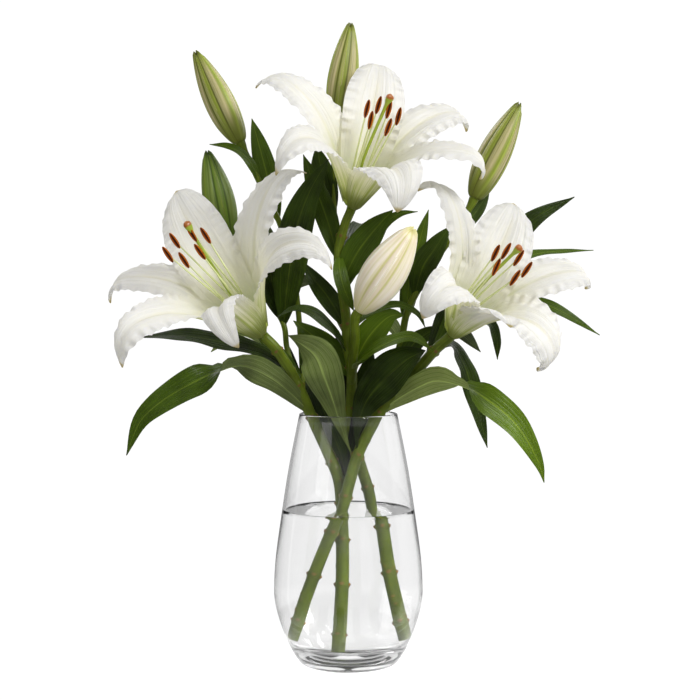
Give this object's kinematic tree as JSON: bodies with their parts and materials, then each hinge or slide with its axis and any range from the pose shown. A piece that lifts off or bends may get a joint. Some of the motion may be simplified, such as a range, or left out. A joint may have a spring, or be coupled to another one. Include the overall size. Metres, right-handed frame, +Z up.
{
  "type": "lilies in a vase",
  "caption": "White lilies with open blooms, closed buds and leafy stems, standing in a clear glass vase part filled with water.",
  "frame": {"origin": "centre of the vase's flat foot, where it meets the table", "axes": "+Z up along the vase's axis; -Y towards the viewer of the open blooms; +X to that viewer's right"},
  "size_m": [0.4452, 0.2698, 0.5832],
  "materials": {
    "clear_glass": "clear blown glass with a thick foot, glossy",
    "water": "clear still water",
    "lily_green": "glossy dark green leaves and mid green stalks",
    "tepal_white": "soft white petals with a cream and green-yellow throat",
    "stamen_rust": "dusty red-brown anthers on pale green filaments",
    "pistil_green": "smooth yellow-green style with a rusty stigma",
    "bud_green": "satin pale green bud with darker seams",
    "bud_cream": "satin cream bud with green-yellow ribs"
  },
  "bodies": {
    "root": {"vase": "clear_glass", "water": "water", "stem_left": "lily_green", "stem_middle": "lily_green", "stem_right": "lily_green", "bloom_left_tepals": "tepal_white", "bloom_left_stamens": "stamen_rust", "bloom_left_pistil": "pistil_green", "bloom_top_tepals": "tepal_white", "bloom_top_stamens": "stamen_rust", "bloom_top_pistil": "pistil_green", "bloom_right_tepals": "tepal_white", "bloom_right_stamens": "stamen_rust", "bloom_right_pistil": "pistil_green", "bud_left": "bud_green", "bud_upper_left": "bud_green", "bud_top": "bud_green", "bud_right": "bud_green", "bud_white": "bud_cream"}
  },
  "joints": []
}
